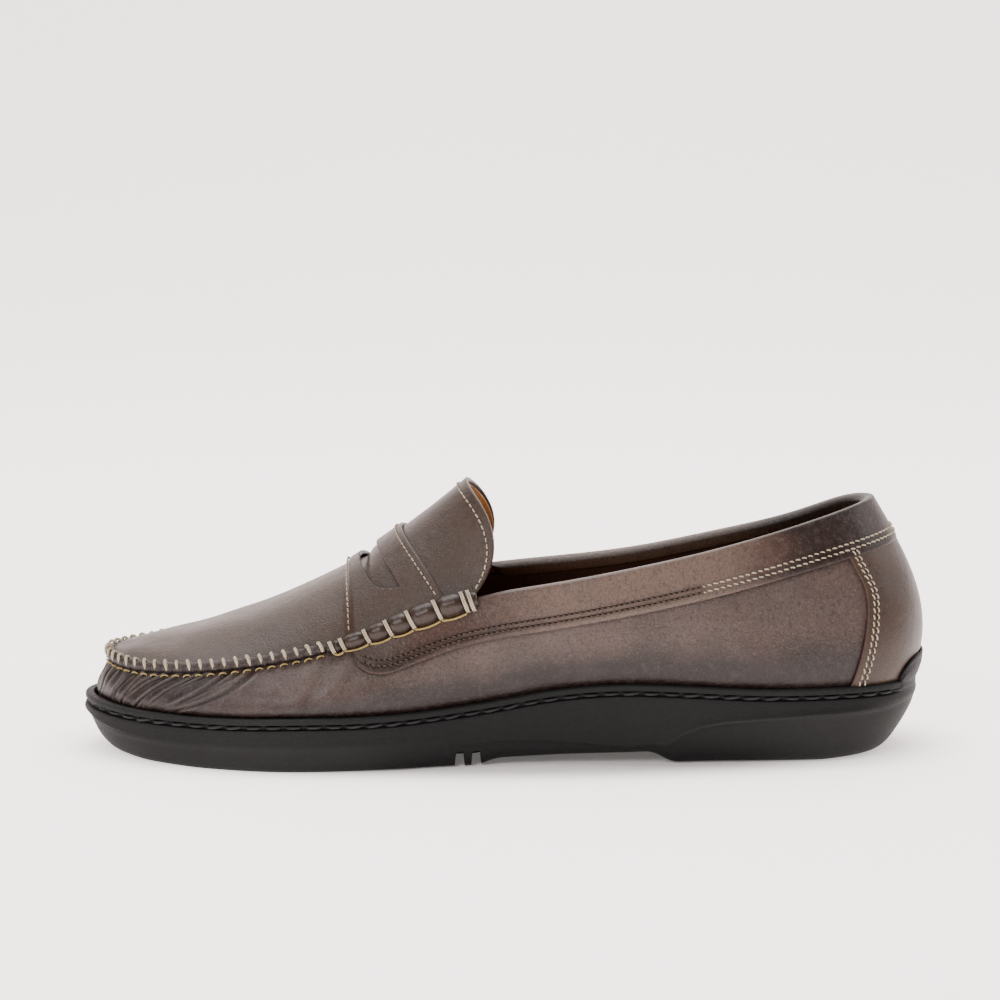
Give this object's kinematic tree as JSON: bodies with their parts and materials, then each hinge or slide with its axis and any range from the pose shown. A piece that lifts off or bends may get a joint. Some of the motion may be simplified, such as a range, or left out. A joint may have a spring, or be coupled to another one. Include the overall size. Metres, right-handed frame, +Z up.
{
  "type": "penny loafer",
  "caption": "Right penny loafer in brown leather: moccasin seam, slotted saddle strap with beefrolls, collar band, heel panel and a black stitched rubber cup sole.",
  "frame": {"origin": "bottom centre of the shoe's bounding box, on the ground", "axes": "-X towards the toe, +X towards the heel, -Y towards the medial side (the wearer's other foot), +Z up"},
  "size_m": [0.2998, 0.103, 0.0978],
  "materials": {
    "leather_upper": "satin",
    "leather_plug": "satin",
    "leather_band": "satin",
    "rubber_sole": "matte",
    "lining_tan": "matte",
    "lining_dark": "matte",
    "thread_cream": "matte",
    "thread_dark": "matte",
    "eva_foam": "matte",
    "cork_filler": "matte",
    "fibre_board": "matte",
    "shank_steel": "brushed"
  },
  "bodies": {
    "root": {"outsole": "rubber_sole", "sidewall_stitch": "thread_dark", "midsole_filler": "eva_foam", "bottom_filler": "cork_filler", "shank": "shank_steel", "insole_board": "fibre_board", "heel_pad": "eva_foam", "sock_lining": "lining_tan", "vamp_quarter": "leather_upper", "plug_tongue": "leather_plug", "saddle_strap": "leather_plug", "collar_band": "leather_band", "heel_panel": "leather_plug", "heel_counter": "fibre_board", "quarter_lining": "lining_dark", "vamp_lining": "lining_tan", "plug_lining": "lining_tan", "moc_seam_stitch": "thread_cream", "strap_front_stitch": "thread_cream", "strap_rear_stitch": "thread_cream", "tongue_edge_stitch": "thread_cream", "collar_stitch_lower": "thread_cream", "collar_stitch_upper": "thread_cream", "beefroll_medial": "leather_upper", "beefroll_medial_lashing": "thread_cream", "panel_stitch_medial_front": "thread_cream", "panel_stitch_medial_back": "thread_cream", "beefroll_lateral": "leather_upper", "beefroll_lateral_lashing": "thread_cream", "panel_stitch_lateral_front": "thread_cream", "panel_stitch_lateral_back": "thread_cream"}
  },
  "joints": []
}
